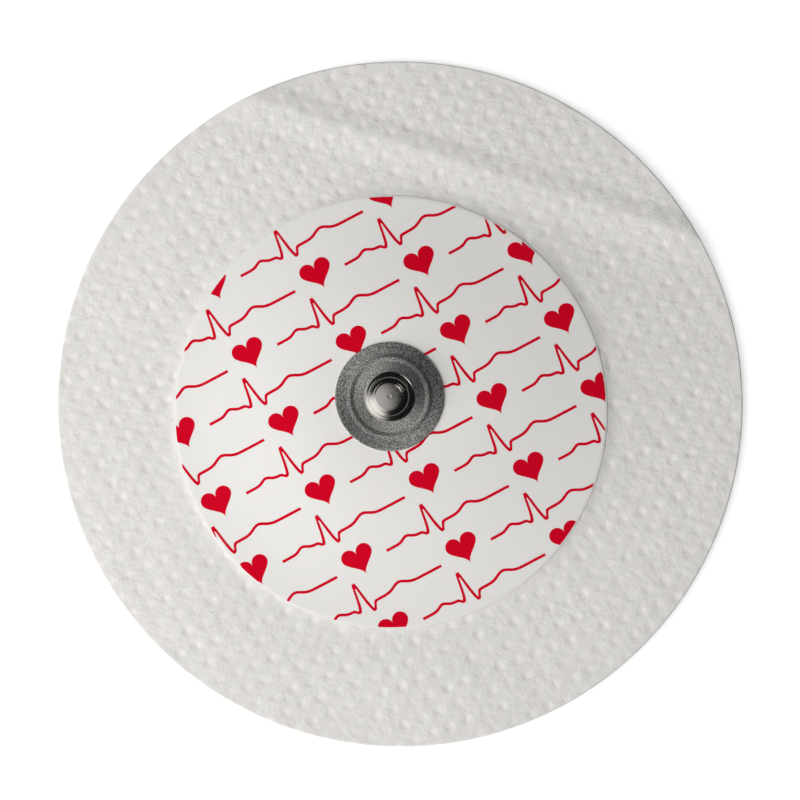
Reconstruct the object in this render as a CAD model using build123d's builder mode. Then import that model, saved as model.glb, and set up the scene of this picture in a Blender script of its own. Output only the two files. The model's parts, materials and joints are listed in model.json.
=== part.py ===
from build123d import *
import os
from math import atan2, cos, radians, sin, tan

# Round cloth-backed monitoring electrode, lying on its skin side.
# Millimetres, +Z up. The origin is the centre of the round backing, on the skin plane.

# Cloth backing: a disc die-cut from soft nonwoven tape
backing_diameter = 60.0
backing_thickness = 0.4

# Label: a smaller film disc, stuck on the cloth a little off its centre
label_diameter = 37.9
label_thickness = 0.22
label_glue = 0.03
label_x = -0.82
label_y = -0.70

# Fold: a straight soft crease across the bare cloth, beyond the label's edge
fold_bearing = 72.7
fold_label_gap = 1.2
fold_inner_run = 2.6
fold_outer_run = 1.7
fold_height = 0.27
fold_crest_radius = 0.8

# Gel pad under the cloth, round the snap's axis
snap_x = -0.91
snap_y = 0.65
gel_diameter = 17.5
gel_thickness = 1.3
gel_edge_chamfer = 0.3

# Drape of cloth and label from the top of the gel pad down to the skin plane
brow_margin = 0.4
drape_run = 11.8

# Snap stud: drawn from sheet metal, with a sprung rim, a raised bead, a dished boss and a bulb head
stud_wall = 0.25
flange_diameter = 9.54
rim_rise = 0.05
rim_edge_chamfer = 0.06
step_foot_diameter = 7.36
bead_diameter = 6.88
bead_height = 0.175
dish_diameter = 5.84
dish_depth = 0.175
boss_rise = 0.15
neck_diameter = 3.24
neck_height = 1.25
head_diameter = 3.86
head_flare = 0.35
head_land = 0.89
shoulder_fall = 0.42
crown_diameter = 2.8

# Bend radii of the stud's outer skin
bead_bend = 0.32
neck_foot_bend = 0.65
shoulder_bend = 0.15

# Coined top of the head
coin_diameter = 2.5
coin_depth = 0.07
coin_draft = 45
pip_diameter = 0.42
pip_depth = 0.05

# Sensor eyelet: a moulded flange in the gel, with a post pressed up into the stud
eyelet_diameter = 9.0
eyelet_thickness = 0.4
eyelet_edge_chamfer = 0.12
eyelet_side_gap = 0.05
post_neck_gap = 0.03
post_head_gap = 0.08
post_top_gap = 0.12
post_tip_chamfer = 0.35
post_hole_gap = 0.25

# Heights of the stack, from the skin plane up
cloth_seat = gel_thickness
cloth_top = cloth_seat + backing_thickness
label_seat = cloth_top + label_glue
stud_seat = label_seat + label_thickness
rim_top = stud_seat + stud_wall
bead_top = rim_top + rim_rise + bead_height
dish_floor = bead_top - dish_depth
boss_top = dish_floor + boss_rise
neck_top = boss_top + neck_height
land_foot = neck_top + head_flare
land_top = land_foot + head_land
head_top = land_top + shoulder_fall

# Radii about the snap's axis
neck_radius = neck_diameter / 2
head_radius = head_diameter / 2
post_radius = neck_radius - stud_wall - post_neck_gap
tip_radius = head_radius - stud_wall - post_head_gap
hole_radius = post_radius + post_hole_gap
brow_radius = gel_diameter / 2 + brow_margin
foot_radius = brow_radius + drape_run
web_reach = foot_radius + backing_diameter

snap_axis = Axis((snap_x, snap_y, 0), (0, 0, 1))
snap_section = Plane((snap_x, snap_y, 0), x_dir=(1, 0, 0), z_dir=(0, -1, 0))


def draped_section(low, high):
    """Half section of a sheet draped over the gel pad, between two heights of its flat top.

    Flat from the post's hole to the brow, sloping to the foot, then flat out past the disc's edge.
    """
    with BuildSketch(snap_section) as section:
        with BuildLine():
            Polyline(
                (hole_radius, low),
                (brow_radius, low),
                (foot_radius, low - gel_thickness),
                (web_reach, low - gel_thickness),
                (web_reach, high - gel_thickness),
                (foot_radius, high - gel_thickness),
                (brow_radius, high),
                (hole_radius, high),
                close=True,
            )
        make_face()
    return section.sketch


# Cloth backing

fold_normal = Vector(cos(radians(fold_bearing)), sin(radians(fold_bearing)))
label_reach = label_diameter / 2 + fold_normal.dot(Vector(label_x, label_y))
fold_crest = fold_normal * (label_reach + fold_label_gap + fold_inner_run)
fold_root = backing_thickness / 2


def fold_tent(height):
    """Section of the fold across the crease: two slopes, a rounded crest and a root under it."""
    across = Plane(
        fold_crest + Vector(0, 0, height),
        x_dir=fold_normal,
        z_dir=(fold_normal.Y, -fold_normal.X, 0),
    )
    with BuildSketch(across) as tent:
        with BuildLine():
            FilletPolyline(
                (-fold_inner_run, -fold_root),
                (-fold_inner_run, 0),
                (0, fold_height),
                (fold_outer_run, 0),
                (fold_outer_run, -fold_root),
                radius=(0, fold_crest_radius, 0),
            )
            Line((fold_outer_run, -fold_root), (-fold_inner_run, -fold_root))
        make_face()
    return tent.sketch


with BuildPart() as cloth_backing:
    revolve(draped_section(cloth_seat, cloth_top), axis=snap_axis)
    extrude(fold_tent(backing_thickness), amount=backing_diameter, both=True)
    extrude(fold_tent(0), amount=backing_diameter, both=True, mode=Mode.SUBTRACT)
    with BuildSketch():
        Circle(backing_diameter / 2)
    extrude(amount=head_top, mode=Mode.INTERSECT)

# Label film

with BuildPart() as label_film:
    revolve(draped_section(label_seat, stud_seat), axis=snap_axis)
    with BuildSketch():
        with Locations((label_x, label_y)):
            Circle(label_diameter / 2)
    extrude(amount=head_top, mode=Mode.INTERSECT)

# Gel pad, with a pocket in its top for the eyelet's flange

eyelet_floor = gel_thickness - eyelet_thickness
pocket_radius = eyelet_diameter / 2 + eyelet_side_gap
gel_axis_plane = Plane((snap_x, snap_y, 0))

with BuildPart() as gel_pad:
    with BuildSketch(gel_axis_plane):
        Circle(gel_diameter / 2)
    extrude(amount=gel_thickness)
    chamfer(gel_pad.edges().group_by(Axis.Z)[-1], gel_edge_chamfer)
    with BuildSketch(gel_axis_plane.offset(eyelet_floor)):
        Circle(pocket_radius)
    extrude(amount=eyelet_thickness, mode=Mode.SUBTRACT)

# Sensor eyelet, whose post flares inside the head as the stud's own skin does

flare_turn = atan2(head_radius - neck_radius, head_flare)
post_flare_foot = neck_top + (stud_wall + post_neck_gap) * tan(flare_turn / 2)
post_flare_top = land_foot + (stud_wall + post_head_gap) * tan(flare_turn / 2)
post_tip = head_top - stud_wall - post_top_gap

with BuildPart() as sensor_eyelet:
    with BuildSketch(snap_section):
        with BuildLine():
            Polyline(
                (0, eyelet_floor),
                (eyelet_diameter / 2 - eyelet_edge_chamfer, eyelet_floor),
                (eyelet_diameter / 2, eyelet_floor + eyelet_edge_chamfer),
                (eyelet_diameter / 2, gel_thickness),
                (post_radius, gel_thickness),
                (post_radius, post_flare_foot),
                (tip_radius, post_flare_top),
                (tip_radius, post_tip - post_tip_chamfer),
                (tip_radius - post_tip_chamfer, post_tip),
                (0, post_tip),
                close=True,
            )
        make_face()
    revolve(axis=snap_axis)

# Snap stud

with BuildPart() as snap_stud:
    with BuildSketch(snap_section):
        with BuildLine():
            FilletPolyline(
                (flange_diameter / 2, rim_top),
                (step_foot_diameter / 2, rim_top + rim_rise),
                (bead_diameter / 2, bead_top),
                (dish_diameter / 2, dish_floor),
                (neck_radius, boss_top),
                (neck_radius, neck_top),
                (head_radius, land_foot),
                (head_radius, land_top),
                (crown_diameter / 2, head_top),
                (0, head_top),
                radius=(0, bead_bend, 0, neck_foot_bend, 0, 0, shoulder_bend, 0),
            )
            offset(amount=stud_wall, side=Side.LEFT, kind=Kind.INTERSECTION)
        make_face()
    revolve(axis=snap_axis)
    rim_edges = snap_stud.edges().filter_by(GeomType.CIRCLE).sort_by(SortBy.RADIUS)
    chamfer(rim_edges[-1], rim_edge_chamfer)
    head_plane = Plane((snap_x, snap_y, head_top))
    with BuildSketch(head_plane):
        Circle(coin_diameter / 2)
    extrude(amount=-coin_depth, taper=coin_draft, mode=Mode.SUBTRACT)
    with BuildSketch(head_plane.offset(-coin_depth)):
        Circle(pip_diameter / 2)
    extrude(amount=-pip_depth, mode=Mode.SUBTRACT)

cloth_backing.part.label = "cloth_backing"
label_film.part.label = "label_film"
gel_pad.part.label = "gel_pad"
sensor_eyelet.part.label = "sensor_eyelet"
snap_stud.part.label = "snap_stud"

os.makedirs("parts", exist_ok=True)
export_step(cloth_backing.part, "parts/cloth_backing.step")
export_step(label_film.part, "parts/label_film.step")
export_step(gel_pad.part, "parts/gel_pad.step")
export_step(sensor_eyelet.part, "parts/sensor_eyelet.step")
export_step(snap_stud.part, "parts/snap_stud.step")
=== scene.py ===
import json
import math

import bpy
import numpy as np
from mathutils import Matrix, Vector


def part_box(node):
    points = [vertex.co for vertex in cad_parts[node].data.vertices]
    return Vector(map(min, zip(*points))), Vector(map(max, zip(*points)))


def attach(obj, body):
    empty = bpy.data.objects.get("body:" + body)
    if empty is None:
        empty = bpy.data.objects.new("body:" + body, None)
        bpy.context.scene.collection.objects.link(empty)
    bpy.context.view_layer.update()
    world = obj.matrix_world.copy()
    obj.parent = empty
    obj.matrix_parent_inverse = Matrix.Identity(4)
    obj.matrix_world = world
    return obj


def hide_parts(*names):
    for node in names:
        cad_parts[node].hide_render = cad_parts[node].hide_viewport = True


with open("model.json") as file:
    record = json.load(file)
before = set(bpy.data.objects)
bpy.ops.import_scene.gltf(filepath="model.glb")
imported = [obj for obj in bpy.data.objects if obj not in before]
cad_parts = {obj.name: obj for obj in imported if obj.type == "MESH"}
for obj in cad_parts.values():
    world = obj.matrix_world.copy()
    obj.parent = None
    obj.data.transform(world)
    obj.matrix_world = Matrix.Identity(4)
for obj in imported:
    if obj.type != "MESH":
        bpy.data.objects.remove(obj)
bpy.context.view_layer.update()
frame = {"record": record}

# Gel pad
# A disc of clear, wet hydrogel that carries the heart's signal from the skin to the eyelet.
# It is cast flat, lies under the middle of the cloth, and the eyelet's flange sinks into its top.

mm = 0.001
snap_mount = next(m for m in frame["record"]["mounts"] if m["name"] == "snap_head")
snap_x, snap_y, _ = snap_mount["pos_m"]
gel_low, gel_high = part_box("gel_pad")
eyelet_low, eyelet_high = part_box("sensor_eyelet")
gel_radius = (gel_high.x - gel_low.x) / 2
gel_slack = 0.02 * mm
eyelet_radius = (eyelet_high.x - eyelet_low.x) / 2
pocket_gap = 0.05 * mm
pocket_radius = eyelet_radius + pocket_gap
gel_brow_steps = 24
gel_foot_bend = 0.12 * mm
gel_shoulder_bend = 0.3 * mm
gel_brow_bend = 0.05 * mm
gel_columns = 160


def rounded_profile(corners, bends, steps=9):
    """Line through the corners in (radius, height), each inner corner rounded by its bend radius.

    With u and v the unit vectors from a corner to its neighbours and half the angle between them,
    the arc's centre is bend / sin(half) along their bisector and its ends bend / tan(half) along each.
    """
    corners = np.asarray(corners, float)
    runs = [corners[:1]]
    for before, corner, after, bend in zip(corners, corners[1:], corners[2:], bends):
        u = (before - corner) / np.linalg.norm(before - corner)
        v = (after - corner) / np.linalg.norm(after - corner)
        half = np.arccos(np.clip(u @ v, -1, 1)) / 2
        centre = corner + (u + v) / np.linalg.norm(u + v) * bend / np.sin(half)
        first = corner + u * bend / np.tan(half) - centre
        last = corner + v * bend / np.tan(half) - centre
        sweep = np.pi - 2 * half
        share = np.linspace(0, 1, steps)[:, None]
        arc = np.sin((1 - share) * sweep) * first + np.sin(share * sweep) * last
        runs.append(centre + arc / np.sin(sweep))
    runs.append(corners[-1:])
    return np.concatenate(runs)


def even_steps(profile, spacing):
    """The same line with its points about `spacing` apart, measured along it."""
    along = np.concatenate([[0], np.cumsum(np.hypot(*np.diff(profile, axis=0).T))])
    steps = np.linspace(0, along[-1], int(np.ceil(along[-1] / spacing)) + 1)
    return np.stack([np.interp(steps, along, line) for line in profile.T], axis=1)


def ring_faces(rings, columns, wrapped=False):
    """Quads from each ring of points to the next, and from the last to the first where wrapped.

    They face outwards where the rings run out along the underside and back in along the top.
    """
    count = rings if wrapped else rings - 1
    ring, column = np.meshgrid(np.arange(count), np.arange(columns), indexing="ij")
    following = (ring + 1) % rings
    beside = (column + 1) % columns
    corners = [
        ring * columns + column,
        ring * columns + beside,
        following * columns + beside,
        following * columns + column,
    ]
    return np.stack(corners, axis=-1).reshape(-1, 4)


def new_piece(name, points, faces, *materials):
    """Smooth-shaded mesh object at the origin, riding on the one rigid body."""
    mesh = bpy.data.meshes.new(name)
    mesh.from_pydata(points.tolist(), [], faces)
    mesh.shade_smooth()
    for material in materials:
        mesh.materials.append(material)
    piece = bpy.data.objects.new(name, mesh)
    bpy.context.scene.collection.objects.link(piece)
    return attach(piece, "root")


def turned_piece(name, profile, columns, *materials):
    """Surface of revolution about the snap's axis, from a profile that starts and ends on the axis.

    p(t, a) = (snap_x + r(t) cos a, snap_y + r(t) sin a, z(t)), with one point at each pole.
    """
    angle = np.arange(columns) * 2 * np.pi / columns
    radius = profile[1:-1, :1]
    height = np.broadcast_to(profile[1:-1, 1:], (len(radius), columns))
    rings = np.stack([snap_x + radius * np.cos(angle), snap_y + radius * np.sin(angle), height], axis=-1)
    poles = [[snap_x, snap_y, profile[0, 1]], [snap_x, snap_y, profile[-1, 1]]]
    points = np.concatenate([rings.reshape(-1, 3), poles])
    column = np.arange(columns)
    beside = (column + 1) % columns
    start = len(points) - 2
    last_ring = (len(radius) - 1) * columns
    first_fan = np.stack([np.full(columns, start), beside, column], axis=1)
    last_fan = np.stack([np.full(columns, start + 1), last_ring + column, last_ring + beside], axis=1)
    faces = ring_faces(len(radius), columns).tolist() + first_fan.tolist() + last_fan.tolist()
    return new_piece(name, points, faces, *materials)


def new_material(name):
    """A node material and its Principled shader."""
    material = bpy.data.materials.new(name)
    material.use_nodes = True
    return material, material.node_tree.nodes["Principled BSDF"]


def add_node(material, kind, inputs=None, **settings):
    """A node of that kind in the material, with its settings and unlinked inputs filled in."""
    node = material.node_tree.nodes.new(kind)
    for name, value in settings.items():
        setattr(node, name, value)
    for socket, value in (inputs or {}).items():
        node.inputs[socket].default_value = value
    return node


def wire(material, output, socket):
    """Link an output to an input in the material."""
    material.node_tree.links.new(output, socket)


def add_noise(material, grain, detail=2.0, stretch=1.0, turn=0.0):
    """Noise on Object coordinates with grains of that size, drawn out `stretch` times along a turned X."""
    place = add_node(material, "ShaderNodeTexCoord")
    turned = add_node(material, "ShaderNodeMapping", {"Rotation": (0, 0, turn)})
    drawn = add_node(material, "ShaderNodeMapping", {"Scale": (1 / stretch, 1, 1)})
    noise = add_node(material, "ShaderNodeTexNoise", {"Scale": 1 / grain, "Detail": detail})
    wire(material, place.outputs["Object"], turned.inputs["Vector"])
    wire(material, turned.outputs["Vector"], drawn.inputs["Vector"])
    wire(material, drawn.outputs["Vector"], noise.inputs["Vector"])
    return noise.outputs["Fac"]


def add_span(material, value, source, target):
    """The value, mapped from the source span to the target span and held within it."""
    span = add_node(material, "ShaderNodeMapRange", interpolation_type="SMOOTHSTEP")
    span.inputs["From Min"].default_value, span.inputs["From Max"].default_value = source
    span.inputs["To Min"].default_value, span.inputs["To Max"].default_value = target
    wire(material, value, span.inputs["Value"])
    return span.outputs["Result"]


def add_mix(material, share, first, second):
    """Colour that goes from the first to the second with the share."""
    mix = add_node(material, "ShaderNodeMix", data_type="RGBA")
    mix.inputs["A"].default_value = (*first, 1)
    mix.inputs["B"].default_value = (*second, 1)
    wire(material, share, mix.inputs["Factor"])
    return mix.outputs["Result"]


def add_bump(material, shader, height, depth):
    """Relief of that depth from a height between 0 and 1, laid over any relief already on the shader."""
    bump = add_node(material, "ShaderNodeBump", {"Strength": 1.0, "Distance": depth})
    wire(material, height, bump.inputs["Height"])
    under = shader.inputs["Normal"].links
    if under:
        wire(material, under[0].from_socket, bump.inputs["Normal"])
    wire(material, bump.outputs["Normal"], shader.inputs["Normal"])


gel, gel_shader = new_material("wet_hydrogel")
gel_shader.inputs["Transmission Weight"].default_value = 0.7
gel_shader.inputs["IOR"].default_value = 1.38
gel_swirl = add_noise(gel, 3 * mm, detail=3)
gel_colour = add_mix(gel, gel_swirl, (0.80, 0.83, 0.80), (0.70, 0.74, 0.71))
wire(gel, gel_colour, gel_shader.inputs["Base Color"])
gel_roughness = add_span(gel, gel_swirl, (0.35, 0.65), (0.08, 0.2))
wire(gel, gel_roughness, gel_shader.inputs["Roughness"])
add_bump(gel, gel_shader, add_noise(gel, 1.5 * mm), 0.03 * mm)

crown_radius = 5.5 * mm
foot_radius = 20.5 * mm
foot_swing = 7 * mm


def drape(x, y):
    """Seat of a sheet over the gel: the gel's top at the stud, then a fall to the skin plane.

    The fall is half a cosine wave from crown_radius to the foot. The foot lies further out towards
    +X, by foot_swing times the square of the bearing's cosine.
    """
    away = np.hypot(x - snap_x, y - snap_y)
    facing = np.clip((x - snap_x) / np.maximum(away, crown_radius), 0, 1)
    foot = foot_radius + foot_swing * facing**2
    share = np.clip((away - crown_radius) / (foot - crown_radius), 0, 1)
    return gel_high.z * (1 + np.cos(np.pi * share)) / 2


gel_brow_radius = np.linspace(gel_radius, pocket_radius, gel_brow_steps)
gel_brow = np.stack([gel_brow_radius, drape(snap_x - gel_brow_radius, snap_y) - gel_slack], axis=1)
gel_corners = [
    (0, gel_low.z),
    (gel_radius, gel_low.z),
    *gel_brow,
    (pocket_radius, eyelet_low.z),
    (0, eyelet_low.z),
]
gel_bends = np.full(len(gel_corners) - 2, gel_brow_bend)
gel_bends[:2] = gel_foot_bend, gel_shoulder_bend
gel_pad = turned_piece("gel_pad_wet", rounded_profile(gel_corners, gel_bends), gel_columns, gel)
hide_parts("gel_pad")

# Sensor eyelet
# A button moulded in plastic and coated with silver, which picks the signal up from the gel.
# Its post goes up through the cloth and the film, and is pressed into the hollow stud.

post_radius = 1.34 * mm
tip_radius = 1.60 * mm
flare_foot = gel_high.z + 2.45 * mm
flare_top = gel_high.z + 2.82 * mm
flange_top = gel_high.z - gel_slack
eyelet_columns = 128

silver_coat, coat_shader = new_material("silver_coat")
coat_shader.inputs["Metallic"].default_value = 0.6
coat_speckle = add_noise(silver_coat, 0.12 * mm, detail=4)
coat_colour = add_mix(silver_coat, coat_speckle, (0.36, 0.36, 0.35), (0.50, 0.49, 0.47))
wire(silver_coat, coat_colour, coat_shader.inputs["Base Color"])
coat_roughness = add_span(silver_coat, coat_speckle, (0.3, 0.7), (0.45, 0.62))
wire(silver_coat, coat_roughness, coat_shader.inputs["Roughness"])
add_bump(silver_coat, coat_shader, coat_speckle, 0.006 * mm)

eyelet_corners = [
    (0, eyelet_low.z),
    (eyelet_radius, eyelet_low.z),
    (eyelet_radius, flange_top),
    (post_radius, flange_top),
    (post_radius, flare_foot),
    (tip_radius, flare_top),
    (tip_radius, eyelet_high.z),
    (0, eyelet_high.z),
]
eyelet_bends = (0.14 * mm, 0.03 * mm, 0.05 * mm, 0.08 * mm, 0.08 * mm, 0.3 * mm)
eyelet_profile = rounded_profile(eyelet_corners, eyelet_bends)
eyelet = turned_piece("eyelet_coated", eyelet_profile, eyelet_columns, silver_coat)
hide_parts("sensor_eyelet")

# Cloth backing
# A disc die-cut from soft white nonwoven tape: fibres melted together at a lattice of small points.
# Its underside is coated with skin adhesive, and it drapes over the gel pad with one old fold in it.

cloth_low, cloth_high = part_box("cloth_backing")
cloth_radius = (cloth_high.x - cloth_low.x) / 2
cloth_thickness = 0.44 * mm
cloth_edge_bend = 0.1 * mm
post_hole_gap = 0.25 * mm
cloth_hole = post_radius + post_hole_gap
cloth_columns = 1024

fold_bearing = math.radians(72.7)
fold_offset = 21.85 * mm
fold_inner_run = 2.6 * mm
fold_outer_run = 1.7 * mm
fold_height = 0.27 * mm
fold_crest_bend = 0.5 * mm
fold_foot_bend = 0.15
fold_swell = 0.12
fold_swell_run = 3.1 * mm
fold_swell_start = 0.8

wave_height = 0.05 * mm
wave_fade = 4 * mm
wave_run_x = 2.9 * mm
wave_sway_x = 4.1 * mm
wave_run_y = 3.4 * mm
wave_sway_y = 5.3 * mm

bond_cell = np.array([2.575, 2.084]) * mm
bond_turn = math.radians(-17.5)
bond_places = np.array([[0.417, 0.21], [0.917, 0.71]])
bond_radius = 0.59 * mm
bond_depth = 0.058 * mm
bond_stray = 0.08 * mm
fibre_width = 0.085 * mm
fibre_stretch = 8
fibre_turns = (0.3, 1.35, 2.4)

film_low, film_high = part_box("label_film")
film_x = (film_low.x + film_high.x) / 2
film_y = (film_low.y + film_high.y) / 2
film_radius = (film_high.x - film_low.x) / 2
ledge_height = 0.085 * mm
ledge_swing = 0.05 * mm
ledge_bearing = math.radians(20)
ledge_inner_run = 0.4 * mm
ledge_outer_run = 1.0 * mm


def film_ledge(x, y):
    """How far the soft cloth stands up along the film's cut edge, which is pressed into it.

    The height is highest at the edge and most at one bearing, and falls as a parabola to either side.
    """
    beyond = np.hypot(x - film_x, y - film_y) - film_radius
    facing = np.cos(np.arctan2(y - film_y, x - film_x) - ledge_bearing)
    run = np.where(beyond < 0, ledge_inner_run, ledge_outer_run)
    return (ledge_height + ledge_swing * facing) * np.clip(1 - np.abs(beyond) / run, 0, 1) ** 2


def rounded_ramp(x, bend):
    """0 up to -bend, x from bend on, and the parabola (x + bend)^2 / (4 bend) between them."""
    return np.where(np.abs(x) < bend, (x + bend) ** 2 / (4 * bend), np.maximum(x, 0))


def cloth_fold(x, y):
    """Tent along the crease: its height less an even slope on each side, with a rounded crest and feet.

    The height goes up and down along the crease by the share fold_swell, as a sine.
    """
    across = x * np.cos(fold_bearing) + y * np.sin(fold_bearing) - fold_offset
    along = y * np.cos(fold_bearing) - x * np.sin(fold_bearing)
    inner_fall = rounded_ramp(-across, fold_crest_bend) / fold_inner_run
    outer_fall = rounded_ramp(across, fold_crest_bend) / fold_outer_run
    swell = 1 - fold_swell + fold_swell * np.sin(along / fold_swell_run + fold_swell_start)
    return fold_height * swell * rounded_ramp(1 - inner_fall - outer_fall, fold_foot_bend)


def cloth_waves(x, y):
    """Slow swells of the bare cloth off the skin plane: crossed sines, none below the plane."""
    away = np.hypot(x - snap_x, y - snap_y)
    bare = np.clip((away - foot_radius) / wave_fade, 0, 1)
    first = np.sin(x / wave_run_x + 0.9 * np.sin(y / wave_sway_x))
    second = np.sin(y / wave_run_y + 1.1 * np.sin(x / wave_sway_y) + 1.7)
    return wave_height * bare * (1 + 0.5 * (first + second))


def cloth_seat(x, y):
    """Underside of the cloth: the drape, with the fold and the swells added."""
    return drape(x, y) + cloth_fold(x, y) + cloth_waves(x, y)


def scatter(cell, seed):
    """Even-looking random share for each cell number: the fraction of a large multiple of a sine."""
    return np.modf(np.abs(np.sin(cell @ [12.9898, 78.233] + seed)) * 43758.5453)[0]


def bond_points(x, y):
    """How deep in a bonded point each place is: (1 - (d / radius)^2)^2 about the nearest centre.

    Centres stand at two places in each cell of the lattice, each a little off its place, and
    each is pressed from 0.6 to 1.4 times as deep as the mean.
    """
    u = x * np.cos(bond_turn) + y * np.sin(bond_turn)
    v = y * np.cos(bond_turn) - x * np.sin(bond_turn)
    cell = np.stack([u, v], axis=-1)[..., None, :] / bond_cell - bond_places
    nearest = np.round(cell)
    number = 2 * nearest + [[0, 0], [1, 1]]
    stray = np.stack([scatter(number, 0.3), scatter(number, 1.9)], axis=-1) - 0.5
    offset = (cell - nearest) * bond_cell - 2 * bond_stray * stray
    reach = np.minimum((offset**2).sum(axis=-1) / bond_radius**2, 1)
    return ((0.6 + 0.8 * scatter(number, 4.1)) * (1 - reach) ** 2).sum(axis=-1)


def sheet_rings(share, hole, edge, columns):
    """Rings of a disc with a hole off its centre, at each share of the way from the hole to the edge.

    p(s, a) = (1 - s) (hole centre + hole radius e(a)) + s (edge centre + edge radius e(a)), with
    e(a) = (cos a, sin a); hole and edge are given as (centre x, centre y, radius).
    """
    angle = np.arange(columns) * 2 * np.pi / columns
    x = [c[0] + c[2] * np.cos(angle) for c in (hole, edge)]
    y = [c[1] + c[2] * np.sin(angle) for c in (hole, edge)]
    share = np.asarray(share)[:, None]
    return (1 - share) * x[0] + share * x[1], (1 - share) * y[0] + share * y[1]


def cut_edge(distance, bend):
    """Fall of a sheet's face beside its cut edge: a quarter circle of radius bend."""
    inside = np.clip(1 - distance / bend, 0, 1)
    return bend * (1 - np.sqrt(1 - inside**2))


cloth, cloth_shader = new_material("nonwoven_cloth")
cloth_shader.inputs["Sheen Weight"].default_value = 0.1
cloth_shader.inputs["Sheen Roughness"].default_value = 0.5
fibre_layers = [add_noise(cloth, fibre_width, 2, fibre_stretch, turn) for turn in fibre_turns]
fibre_pair = add_node(cloth, "ShaderNodeMath", operation="MAXIMUM")
wire(cloth, fibre_layers[0], fibre_pair.inputs[0])
wire(cloth, fibre_layers[1], fibre_pair.inputs[1])
fibres = add_node(cloth, "ShaderNodeMath", operation="MAXIMUM")
wire(cloth, fibre_pair.outputs["Value"], fibres.inputs[0])
wire(cloth, fibre_layers[2], fibres.inputs[1])
tufts = add_noise(cloth, 0.35 * mm, 3)
bonds = add_node(cloth, "ShaderNodeAttribute", attribute_name="bond")
cloth_patches = add_noise(cloth, 1.1 * mm, 2)
cloth_white = add_mix(cloth, cloth_patches, (0.725, 0.692, 0.653), (0.695, 0.692, 0.685))
# Each bonded point is painted lighter in colour: a painted highlight standing in for the shine of the fused
# fibres.
cloth_and_painted_highlight = add_node(cloth, "ShaderNodeMix", data_type="RGBA")
cloth_and_painted_highlight.inputs["B"].default_value = (0.77, 0.745, 0.71, 1)
wire(cloth, cloth_white, cloth_and_painted_highlight.inputs["A"])
bond_highlight_share = add_span(cloth, bonds.outputs["Fac"], (0, 1.2), (0, 0.7))
wire(cloth, bond_highlight_share, cloth_and_painted_highlight.inputs["Factor"])
fibre_colour = add_node(cloth, "ShaderNodeMix", data_type="RGBA")
fibre_colour.inputs["B"].default_value = (0.88, 0.86, 0.83, 1)
wire(cloth, cloth_and_painted_highlight.outputs["Result"], fibre_colour.inputs["A"])
fibre_share = add_span(cloth, fibres.outputs["Value"], (0.6, 0.8), (0, 0.35))
wire(cloth, fibre_share, fibre_colour.inputs["Factor"])
wire(cloth, fibre_colour.outputs["Result"], cloth_shader.inputs["Base Color"])
cloth_roughness = add_span(cloth, bonds.outputs["Fac"], (0, 1), (0.92, 0.6))
wire(cloth, cloth_roughness, cloth_shader.inputs["Roughness"])
add_bump(cloth, cloth_shader, add_noise(cloth, 2.4 * mm, 3), 0.15 * mm)
add_bump(cloth, cloth_shader, tufts, 0.028 * mm)
add_bump(cloth, cloth_shader, fibres.outputs["Value"], 0.038 * mm)

adhesive, adhesive_shader = new_material("skin_adhesive")
adhesive_shader.inputs["Coat Weight"].default_value = 0.35
adhesive_shader.inputs["Coat Roughness"].default_value = 0.3
adhesive_drag = add_noise(adhesive, 0.6 * mm, 3, 5, 1.2)
adhesive_colour = add_mix(adhesive, adhesive_drag, (0.74, 0.70, 0.62), (0.68, 0.65, 0.58))
wire(adhesive, adhesive_colour, adhesive_shader.inputs["Base Color"])
adhesive_roughness = add_span(adhesive, adhesive_drag, (0.3, 0.7), (0.35, 0.55))
wire(adhesive, adhesive_roughness, adhesive_shader.inputs["Roughness"])
add_bump(adhesive, adhesive_shader, adhesive_drag, 0.03 * mm)

cloth_ring_hole = (snap_x, snap_y, cloth_hole)
cloth_ring_edge = (0.0, 0.0, cloth_radius)
under_share = np.concatenate([np.linspace(0, 0.5, 12), np.linspace(0.52, 1, 14)])
rim_share = 1 - np.array([0, 0.012, 0.04, 0.1]) * mm / cloth_radius
bare_share = np.linspace(1 - 0.2 * mm / cloth_radius, 0.56, 68)
top_share = np.concatenate([rim_share, bare_share, np.linspace(0.54, 0, 12)])

under_x, under_y = sheet_rings(under_share, cloth_ring_hole, cloth_ring_edge, cloth_columns)
under_z = cloth_seat(under_x, under_y)
top_x, top_y = sheet_rings(top_share, cloth_ring_hole, cloth_ring_edge, cloth_columns)
top_bond = bond_points(top_x, top_y)
top_z = cloth_seat(top_x, top_y) + cloth_thickness + film_ledge(top_x, top_y) - bond_depth * top_bond
top_z -= cut_edge((1 - top_share[:, None]) * cloth_radius, cloth_edge_bend)

cloth_points = np.concatenate(
    [
        np.stack([under_x, under_y, under_z], axis=-1).reshape(-1, 3),
        np.stack([top_x, top_y, top_z], axis=-1).reshape(-1, 3),
    ]
)
cloth_ring_count = len(under_share) + len(top_share)
cloth_faces = ring_faces(cloth_ring_count, cloth_columns, wrapped=True)
cloth_disc = new_piece("cloth_disc", cloth_points, cloth_faces.tolist(), cloth, adhesive)
adhesive_faces = np.arange(len(cloth_faces)) < (len(under_share) - 1) * cloth_columns
cloth_disc.data.polygons.foreach_set("material_index", adhesive_faces.astype(np.int32))
bond_values = np.concatenate([np.zeros(under_x.size), top_bond.ravel()])
bond_attribute = cloth_disc.data.attributes.new("bond", "FLOAT", "POINT")
bond_attribute.data.foreach_set("value", bond_values.astype(np.float32))
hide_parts("cloth_backing")

# Label film
# A smaller disc of satin white film, die-cut and stuck on the cloth a little off its centre.
# It is stiffer than the cloth, so it bridges the bonded points, and the die pressed its edge into the cloth.

film_thickness = 0.2 * mm
film_glue = 0.01 * mm
film_edge_fall = 0.032 * mm
film_edge_run = 0.36 * mm
film_columns = 360


def film_seat(x, y):
    """Underside of the film: the cloth's smooth top, with the ledge along the edge, and the glue."""
    return drape(x, y) + cloth_thickness + film_ledge(x, y) + film_glue


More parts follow.
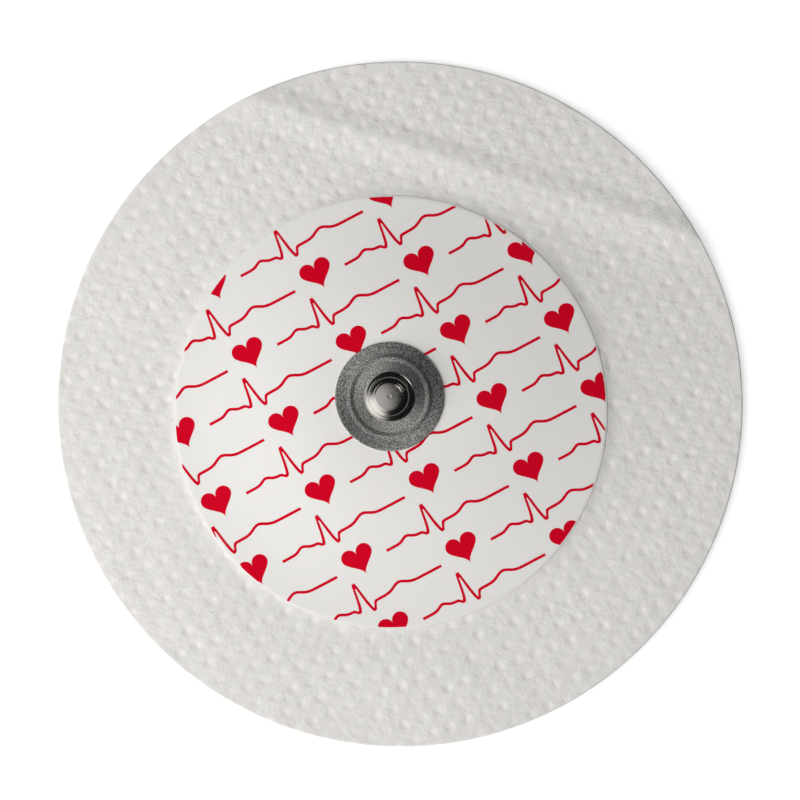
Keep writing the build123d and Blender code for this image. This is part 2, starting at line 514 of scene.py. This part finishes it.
def film_face(x, y):
    """Top of the film: a thickness above the cloth's smooth top, squeezed down along the cut edge.

    The fall is film_edge_fall * max(0, 1 - distance to the edge / film_edge_run)^2.
    """
    off_edge = film_radius - np.hypot(x - film_x, y - film_y)
    fall = film_edge_fall * np.clip(1 - off_edge / film_edge_run, 0, 1) ** 2
    return drape(x, y) + cloth_thickness + film_glue + film_thickness - fall


film, film_shader = new_material("satin_film")
film_haze = add_noise(film, 4 * mm, 2)
film_colour = add_mix(film, film_haze, (0.752, 0.730, 0.702), (0.732, 0.720, 0.702))
wire(film, film_colour, film_shader.inputs["Base Color"])
film_roughness = add_span(film, add_noise(film, 0.4 * mm, 3), (0.3, 0.7), (0.38, 0.5))
wire(film, film_roughness, film_shader.inputs["Roughness"])
add_bump(film, film_shader, add_noise(film, 1.4 * mm, 2), 0.02 * mm)
add_bump(film, film_shader, add_noise(film, 0.12 * mm, 2), 0.003 * mm)

film_ring_hole = (snap_x, snap_y, cloth_hole)
film_ring_edge = (film_x, film_y, film_radius)
film_under_rim = 1 - np.array([0.4, 0.25, 0.12, 0]) * mm / film_radius
film_under_share = np.concatenate([np.linspace(0, 0.97, 24), film_under_rim])
film_rim_share = 1 - np.array([0, 0.006, 0.05, 0.1, 0.16, 0.22, 0.29, 0.36]) * mm / film_radius
film_top_share = np.concatenate([film_rim_share, np.linspace(0.98, 0, 60)])
film_under_x, film_under_y = sheet_rings(film_under_share, film_ring_hole, film_ring_edge, film_columns)
film_top_x, film_top_y = sheet_rings(film_top_share, film_ring_hole, film_ring_edge, film_columns)
film_under_z = film_seat(film_under_x, film_under_y)
film_top_z = film_face(film_top_x, film_top_y)
film_points = np.concatenate(
    [
        np.stack([film_under_x, film_under_y, film_under_z], axis=-1).reshape(-1, 3),
        np.stack([film_top_x, film_top_y, film_top_z], axis=-1).reshape(-1, 3),
    ]
)
film_ring_count = len(film_under_share) + len(film_top_share)
film_faces = ring_faces(film_ring_count, film_columns, wrapped=True)
film_disc = new_piece("film_disc", film_points, film_faces.tolist(), film)
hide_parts("label_film")

# Print on the film
# Red ink in slanting rows: a heart, then the trace of one heartbeat, over and over.
# The web is printed before it is cut, so the label's edge cuts through hearts and traces alike.

print_turn = math.radians(28)
row_pitch = 3.4 * mm
row_reach = 8
motif_pitch = 17.0 * mm
motif_reach = 3
heart_width = 2.85 * mm
heart_point = 0.85
heart_lift = 0.8
trace_start = 2.5 * mm
trace_end = 14.6 * mm
trace_stroke = 0.25 * mm
trace_drop = 0.35 * mm
ink_height = 0.012 * mm
print_margin = 0.1 * mm


def heart_band(columns):
    """(u, low, high) of a heart: u = +-(1 - cos t), high = sin t + lift, low = point (t - pi) + lift.

    t goes from 0 to pi on either side, and all are in quarters of the heart's width.
    """
    t = np.linspace(-np.pi, np.pi, columns)
    scale = heart_width / 4
    u = np.sign(t) * (1 - np.cos(t)) * scale
    low = heart_point * (np.abs(t) - np.pi) * scale + heart_lift * scale
    high = np.sin(np.abs(t)) * scale + heart_lift * scale
    return u, low, high


def trace_band(columns):
    """(u, low, high) of one beat: a line with five bell-shaped waves, of an even stroke.

    v(u) = sum of size * exp(-((u - place) / width)^2) - drop, and the stroke's half height is
    stroke / 2 * sqrt(1 + v'(u)^2), so it measures the same across the line.
    """
    u = np.linspace(trace_start, trace_end, columns)
    place = np.array([4.6, 6.35, 7.0, 7.7, 10.6])[:, None] * mm
    size = np.array([0.35, -0.3, 2.0, -0.65, 0.5])[:, None] * mm
    width = np.array([0.55, 0.25, 0.3, 0.26, 0.8])[:, None] * mm
    line = (size * np.exp(-(((u - place) / width) ** 2))).sum(axis=0) - trace_drop
    half = trace_stroke / 2 * np.sqrt(1 + np.gradient(line, u) ** 2)
    return u, line - half, line + half


def printed_motifs(band, layers):
    """Points and faces of one motif at every place of the rows, cut off at the label's edge.

    Every other row starts half a pitch along. Each column of the band is cut to the part inside the
    label's circle; a face is kept where both its columns have such a part. Heights follow the film's face.
    """
    u, low, high = band
    rows = np.arange(-row_reach, row_reach + 1)
    row, motif = np.meshgrid(rows, np.arange(-motif_reach, motif_reach + 1), indexing="ij")
    start_u = ((motif + 0.5 * (row % 2)) * motif_pitch).reshape(-1, 1)
    start_v = (row * row_pitch).reshape(-1, 1)
    reach = film_radius - print_margin
    place_u = start_u + u
    room = np.sqrt(np.clip(reach**2 - place_u**2, 0, None))
    low = np.maximum(start_v + low, -room)
    high = np.minimum(start_v + high, room)
    printed = (high > low) & (np.abs(place_u) < reach)
    share = np.linspace(0, 1, layers)
    v = low[..., None] * (1 - share) + high[..., None] * share
    place_u = np.broadcast_to(place_u[..., None], v.shape)
    x = film_x + place_u * np.cos(print_turn) - v * np.sin(print_turn)
    y = film_y + place_u * np.sin(print_turn) + v * np.cos(print_turn)
    z = film_face(x, y) + ink_height
    index = np.arange(v.size).reshape(v.shape)
    quads = [index[:, :-1, :-1], index[:, 1:, :-1], index[:, 1:, 1:], index[:, :-1, 1:]]
    kept = np.broadcast_to((printed[:, :-1] & printed[:, 1:])[..., None], quads[0].shape)
    return np.stack([x, y, z], axis=-1).reshape(-1, 3), np.stack(quads, axis=-1)[kept]


ink, ink_shader = new_material("red_ink")
ink_cover = add_noise(ink, 0.15 * mm, 3)
ink_colour = add_mix(ink, ink_cover, (0.61, 0.002, 0.016), (0.53, 0.002, 0.018))
wire(ink, ink_colour, ink_shader.inputs["Base Color"])
ink_roughness = add_span(ink, ink_cover, (0.3, 0.7), (0.42, 0.56))
wire(ink, ink_roughness, ink_shader.inputs["Roughness"])
ink_shader.inputs["Specular IOR Level"].default_value = 0.0

heart_points, heart_quads = printed_motifs(heart_band(columns=45), layers=6)
trace_points, trace_quads = printed_motifs(trace_band(columns=150), layers=3)
print_points = np.concatenate([heart_points, trace_points])
print_quads = np.concatenate([heart_quads, trace_quads + len(heart_points)])
used, print_quads = np.unique(print_quads, return_inverse=True)
print_faces = print_quads.reshape(-1, 4).tolist()
label_print = new_piece("label_print", print_points[used], print_faces, ink)
label_print.data.shade_flat()
ink_body = label_print.modifiers.new("ink_body", "SOLIDIFY")
ink_body.thickness = ink_height
ink_body.offset = -1

# Snap stud
# The male half of a press fastener, drawn from thin sheet metal and plated: a tumbled, matt flange
# with a raised bead, and a polished bulb head. The eyelet's post holds it down on the film.

stud_low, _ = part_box("snap_stud")
polish_radius = 2.25 * mm
pale_inner_radius = 3.4 * mm
pale_inner_fade = 0.3 * mm
turning_pitch = 0.16 * mm
unit_ring_pitch = 0.314
outer_step = 0.032 * mm
inner_step = 0.12 * mm
stud_columns = 216
stud_crease = math.radians(35)

matt_metal, matt_shader = new_material("plated_matt")
matt_shader.inputs["Metallic"].default_value = 1.0
matt_shader.inputs["Anisotropic"].default_value = 0.85
matt_shader.inputs["Anisotropic Rotation"].default_value = 0.0
matt_tangent = add_node(matt_metal, "ShaderNodeTangent", direction_type="RADIAL", axis="Z")
wire(matt_metal, matt_tangent.outputs["Tangent"], matt_shader.inputs["Tangent"])
matt_grain = add_span(matt_metal, add_noise(matt_metal, 0.12 * mm, 3), (0.3, 0.7), (0, 1))
matt_colour = add_mix(matt_metal, matt_grain, (0.25, 0.25, 0.245), (0.88, 0.87, 0.85))
# Inside the bead the matt flange is drawn in a lighter colour, which fades out over the bead's inner slope.
pale_inner = add_node(matt_metal, "ShaderNodeAttribute", attribute_name="pale_inner")
pale_inner_mix = add_node(matt_metal, "ShaderNodeMix", data_type="RGBA")
pale_inner_colour = add_mix(matt_metal, matt_grain, (0.33, 0.33, 0.324), (1.0, 0.985, 0.96))
wire(matt_metal, matt_colour, pale_inner_mix.inputs["A"])
wire(matt_metal, pale_inner_colour, pale_inner_mix.inputs["B"])
wire(matt_metal, pale_inner.outputs["Fac"], pale_inner_mix.inputs["Factor"])
wire(matt_metal, pale_inner_mix.outputs["Result"], matt_shader.inputs["Base Color"])
matt_roughness = add_span(matt_metal, matt_grain, (0, 1), (0.64, 0.58))
wire(matt_metal, matt_roughness, matt_shader.inputs["Roughness"])
add_bump(matt_metal, matt_shader, matt_grain, 0.012 * mm)

polished_metal, polished_shader = new_material("plated_polish")
polished_shader.inputs["Metallic"].default_value = 1.0
polish_wear = add_noise(polished_metal, 0.2 * mm, 3)
polish_colour = add_mix(polished_metal, polish_wear, (0.54, 0.515, 0.485), (0.50, 0.48, 0.455))
wire(polished_metal, polish_colour, polished_shader.inputs["Base Color"])
polish_roughness = add_span(polished_metal, polish_wear, (0.3, 0.7), (0.14, 0.2))
wire(polished_metal, polish_roughness, polished_shader.inputs["Roughness"])
turning_place = add_node(polished_metal, "ShaderNodeTexCoord")
turning_axis = add_node(polished_metal, "ShaderNodeMapping", {"Location": (-snap_x, -snap_y, 0)})
turning_marks = add_node(
    polished_metal,
    "ShaderNodeTexWave",
    {"Scale": unit_ring_pitch / turning_pitch, "Distortion": 0.6, "Detail": 2.0},
    wave_type="RINGS",
    rings_direction="Z",
)
wire(polished_metal, turning_place.outputs["Object"], turning_axis.inputs["Vector"])
wire(polished_metal, turning_axis.outputs["Vector"], turning_marks.inputs["Vector"])
add_bump(polished_metal, polished_shader, turning_marks.outputs["Fac"], 0.0006 * mm)

stud_outer = np.array(
    [
        (0.00, 3.348),
        (0.17, 3.348),
        (0.22, 3.358),
        (0.70, 3.332),
        (1.02, 3.303),
        (1.22, 3.272),
        (1.29, 3.240),
        (1.315, 3.212),
        (1.36, 3.205),
        (1.46, 3.175),
        (1.60, 3.100),
        (1.75, 2.965),
        (1.93, 2.915),
        (1.93, 2.050),
        (1.62, 1.700),
        (1.62, 0.450),
        (3.12, 0.305),
        (3.45, 0.365),
        (3.76, 0.298),
        (4.71, 0.240),
        (4.77, 0.170),
    ]
)
head_bends = [0.05, 0.05, 4.0, 2.0, 0.2, 0.03, 0.02, 0.06, 0.2, 0.1, 0.06, 0.015]
neck_bends = [0.3, 0.2, 0.65]
flange_bends = [0.3, 0.25, 0.3, 0.04]
stud_outer_bends = np.array(head_bends + neck_bends + flange_bends)
stud_inner = np.array(
    [
        (4.76, 0.00),
        (3.62, 0.05),
        (3.42, 0.20),
        (2.94, 0.05),
        (1.37, 0.20),
        (1.37, 1.75),
        (1.68, 2.12),
        (1.68, 2.80),
        (1.35, 3.08),
        (0.00, 3.11),
    ]
)
stud_inner_bends = np.array([0.08, 0.1, 0.5, 0.8, 0.2, 0.2, 0.1, 0.2])
outer_skin = even_steps(rounded_profile(stud_outer * mm, stud_outer_bends * mm, steps=65), outer_step)
inner_skin = even_steps(rounded_profile(stud_inner * mm, stud_inner_bends * mm), inner_step)
stud_profile = np.concatenate([inner_skin[::-1], outer_skin[::-1]]) + [0, stud_low.z]
stud = turned_piece("stud_plated", stud_profile, stud_columns, matt_metal, polished_metal)
stud.data.set_sharp_from_angle(angle=stud_crease)
stud_centres = np.empty(3 * len(stud.data.polygons))
stud.data.polygons.foreach_get("center", stud_centres)
stud_away = np.hypot(stud_centres[0::3] - snap_x, stud_centres[1::3] - snap_y)
stud.data.polygons.foreach_set("material_index", (stud_away < polish_radius).astype(np.int32))
stud_points = np.empty(3 * len(stud.data.vertices))
stud.data.vertices.foreach_get("co", stud_points)
point_away = np.hypot(stud_points[0::3] - snap_x, stud_points[1::3] - snap_y)
# Share of the lighter colour: full inside the bead, falling to none just short of its crest.
pale_inner_values = np.clip((pale_inner_radius - point_away) / pale_inner_fade, 0, 1)
pale_inner_attribute = stud.data.attributes.new("pale_inner", "FLOAT", "POINT")
pale_inner_attribute.data.foreach_set("value", pale_inner_values.astype(np.float32))
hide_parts("snap_stud")

# Floor, light and camera
# A plain white table in soft light: a low window and lamp at the lower left, a high window and lamp nearly
# overhead, a near lamp at the left, a small one at the upper right and a faint glow along the horizon.
# The camera looks straight down.

floor_half = 4.0
floor_gap = 0.02 * mm
floor_mesh = bpy.data.meshes.new("floor")
floor_corners = np.array([(-1, -1, 0), (1, -1, 0), (1, 1, 0), (-1, 1, 0)]) * floor_half
floor_mesh.from_pydata((floor_corners - [0, 0, floor_gap]).tolist(), [], [(0, 1, 2, 3)])
floor = bpy.data.objects.new("floor", floor_mesh)
bpy.context.scene.collection.objects.link(floor)
floor_white, floor_shader = new_material("white_table")
floor_shader.inputs["Base Color"].default_value = (0.5, 0.5, 0.5, 1)
floor_shader.inputs["Roughness"].default_value = 1.0
floor_shader.inputs["Specular IOR Level"].default_value = 0.0
floor_shader.inputs["Emission Color"].default_value = (1, 1, 1, 1)
seen = add_node(floor_white, "ShaderNodeLightPath")
seen_direct = add_node(floor_white, "ShaderNodeMath", operation="MAXIMUM")
seen_any = add_node(floor_white, "ShaderNodeMath", operation="MAXIMUM")
wire(floor_white, seen.outputs["Is Camera Ray"], seen_direct.inputs[0])
wire(floor_white, seen.outputs["Is Glossy Ray"], seen_direct.inputs[1])
wire(floor_white, seen_direct.outputs["Value"], seen_any.inputs[0])
wire(floor_white, seen.outputs["Is Transmission Ray"], seen_any.inputs[1])
floor_glow = add_span(floor_white, seen_any.outputs["Value"], (0, 1), (0, 0.62))
wire(floor_white, floor_glow, floor_shader.inputs["Emission Strength"])
floor_mesh.materials.append(floor_white)

world = bpy.data.worlds.new("studio")
bpy.context.scene.world = world
world.use_nodes = True
sky_light = world.node_tree.nodes["Background"]
sky_light.inputs["Color"].default_value = (1, 1, 0.985, 1)
sky_place = add_node(world, "ShaderNodeTexCoord")


def sky_patch(bearing, elevation, core, reach, level, dim=0.0):
    """Round patch of sky: level within `core` degrees of its middle, fading to dim at `reach` degrees."""
    across = math.cos(math.radians(elevation))
    facing = add_node(world, "ShaderNodeVectorMath", operation="DOT_PRODUCT")
    facing.inputs[1].default_value = (
        across * math.cos(math.radians(bearing)),
        across * math.sin(math.radians(bearing)),
        math.sin(math.radians(elevation)),
    )
    wire(world, sky_place.outputs["Generated"], facing.inputs[0])
    edge = (math.cos(math.radians(reach)), math.cos(math.radians(core)))
    return add_span(world, facing.outputs["Value"], edge, (dim, level))


low_window = sky_patch(bearing=217, elevation=20, core=16, reach=50, level=1.5, dim=0.008)
high_window = sky_patch(bearing=195, elevation=68, core=6, reach=34, level=0.74)
horizon_glow = sky_patch(bearing=0, elevation=-90, core=95, reach=108, level=0.13)
windows = add_node(world, "ShaderNodeMath", operation="ADD")
wire(world, low_window, windows.inputs[0])
wire(world, high_window, windows.inputs[1])
sky_sum = add_node(world, "ShaderNodeMath", operation="ADD")
wire(world, windows.outputs["Value"], sky_sum.inputs[0])
wire(world, horizon_glow, sky_sum.inputs[1])
wire(world, sky_sum.outputs["Value"], sky_light.inputs["Strength"])


def soft_lamp(name, bearing, elevation, distance, size, power, mirrored=True):
    """Square area lamp, aimed at the middle of the part from that bearing and elevation in degrees."""
    data = bpy.data.lights.new(name, "AREA")
    data.shape = "SQUARE"
    data.size = size
    data.energy = power
    lamp = bpy.data.objects.new(name, data)
    across = math.cos(math.radians(elevation))
    lamp.location = (
        distance * across * math.cos(math.radians(bearing)),
        distance * across * math.sin(math.radians(bearing)),
        distance * math.sin(math.radians(elevation)),
    )
    lamp.rotation_euler = (math.radians(90 - elevation), 0, math.radians(bearing + 90))
    lamp.visible_camera = False
    lamp.visible_glossy = mirrored
    bpy.context.scene.collection.objects.link(lamp)


soft_lamp("key_lamp", bearing=221, elevation=28, distance=0.6, size=0.667, power=1.88, mirrored=False)
soft_lamp("fill_lamp", bearing=195, elevation=50, distance=0.15, size=0.1, power=0.095, mirrored=False)
soft_lamp("top_lamp", bearing=180, elevation=78, distance=0.8, size=0.5, power=1.16, mirrored=False)
soft_lamp("small_lamp", bearing=42, elevation=68, distance=0.4, size=0.06, power=0.028)

view_width = 70.06 * mm
view_distance = 0.6
view_y = 0.355 * mm
sensor_width = 36
camera_data = bpy.data.cameras.new("camera")
camera_data.sensor_width = sensor_width
camera_data.lens = sensor_width * view_distance / view_width
camera = bpy.data.objects.new("camera", camera_data)
camera.location = (0, view_y, view_distance + cloth_thickness)
bpy.context.scene.collection.objects.link(camera)
bpy.context.scene.camera = camera
bpy.context.scene.view_settings.view_transform = "Standard"

bpy.context.view_layer.update()
